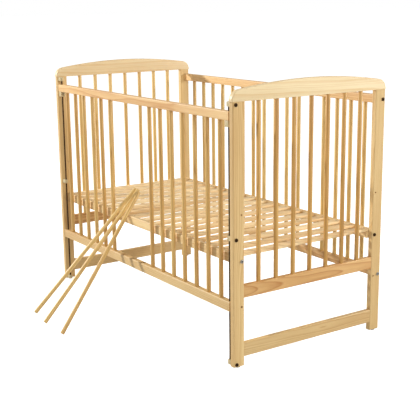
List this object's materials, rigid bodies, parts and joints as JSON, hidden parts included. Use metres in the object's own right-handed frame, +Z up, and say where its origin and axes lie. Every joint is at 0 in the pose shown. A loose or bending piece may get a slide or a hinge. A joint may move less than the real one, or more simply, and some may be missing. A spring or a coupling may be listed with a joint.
{
  "type": "baby crib",
  "caption": "Wooden baby crib with arched end panels, barred sides, a drop side on steel guide rods, pull-out bars and a height-adjustable slatted base.",
  "frame": {"origin": "on the floor, at the middle of the rectangle of the four posts", "axes": "+X along the crib, the drop side faces -Y, +Z up"},
  "size_m": [1.254, 0.9646, 0.919],
  "materials": {
    "post_wood": "satin clear varnish on pine",
    "arch_wood": "satin clear varnish on pale pine",
    "end_rail_wood": "satin clear varnish on warm pine",
    "stretcher_wood": "satin clear varnish on pine",
    "rail_wood": "satin clear varnish on pine",
    "bar_wood": "satin clear varnish on pine",
    "slat_wood": "planed pine",
    "base_rail_wood": "planed pine",
    "dowel_wood": "fluted beech",
    "white_plastic": "moulded, off white",
    "glide_plastic": "moulded",
    "dark_steel": "dark, oiled",
    "zinc_steel": "zinc plated"
  },
  "bodies": {
    "frame": {"post_front_right": "post_wood", "post_front_left": "post_wood", "post_rear_right": "post_wood", "post_rear_left": "post_wood", "arch_board_right": "arch_wood", "arch_board_left": "arch_wood", "end_rail_right": "end_rail_wood", "end_rail_left": "end_rail_wood", "stretcher_right": "stretcher_wood", "stretcher_left": "stretcher_wood", "end_bars_right": "bar_wood", "end_bars_left": "bar_wood", "rear_top_rail": "rail_wood", "rear_bottom_rail": "rail_wood", "rear_bars": "bar_wood", "guide_rod_right": "dark_steel", "guide_rod_left": "dark_steel", "rod_top_bracket_right": "white_plastic", "rod_top_bracket_left": "white_plastic", "rod_saddle_right": "white_plastic", "rod_saddle_left": "white_plastic", "rod_foot_bracket_right": "white_plastic", "rod_foot_bracket_left": "white_plastic", "base_front_rail": "base_rail_wood", "base_rear_rail": "base_rail_wood", "base_slats": "slat_wood", "base_bolts": "zinc_steel", "base_barrel_nuts": "zinc_steel", "rear_bolts": "zinc_steel", "rear_barrel_nuts": "zinc_steel", "bracket_bolts": "dark_steel", "slat_screws": "dark_steel", "panel_dowels": "dowel_wood", "glides": "glide_plastic"},
    "drop_side": {"drop_top_rail": "rail_wood", "drop_bottom_rail": "rail_wood", "drop_bars": "bar_wood", "catch_housing_right": "white_plastic", "catch_housing_left": "white_plastic", "catch_pin_right": "zinc_steel", "catch_pin_left": "zinc_steel", "catch_spring_right": "zinc_steel", "catch_spring_left": "zinc_steel"},
    "catch_lever_right": {"catch_lever_right": "white_plastic"},
    "catch_lever_left": {"catch_lever_left": "white_plastic"},
    "loose_bar_1": {"loose_bar_1": "bar_wood"},
    "loose_bar_2": {"loose_bar_2": "bar_wood"},
    "loose_bar_3": {"loose_bar_3": "bar_wood"}
  },
  "joints": [
    {"name": "drop_side_slide", "type": "slide", "parent": "frame", "child": "drop_side", "axis": [0, 0, -1], "range_m": [0, 0.15]},
    {"name": "catch_press_right", "type": "hinge", "parent": "drop_side", "child": "catch_lever_right", "pos_m": [0.581, -0.309, 0.792], "axis": [0, 1, 0], "range_deg": [0, 12], "stiffness_Nm_per_rad": 0.2},
    {"name": "catch_press_left", "type": "hinge", "parent": "drop_side", "child": "catch_lever_left", "pos_m": [-0.581, -0.309, 0.792], "axis": [0, -1, 0], "range_deg": [0, 12], "stiffness_Nm_per_rad": 0.2},
    {"name": "loose_bar_lift_1", "type": "slide", "parent": "frame", "child": "loose_bar_1", "axis": [0, 0, 1], "range_m": [0, 0.24]},
    {"name": "loose_bar_lift_2", "type": "slide", "parent": "frame", "child": "loose_bar_2", "axis": [0, 0, 1], "range_m": [0, 0.24]},
    {"name": "loose_bar_lift_3", "type": "slide", "parent": "frame", "child": "loose_bar_3", "axis": [0, 0, 1], "range_m": [0, 0.24]}
  ]
}
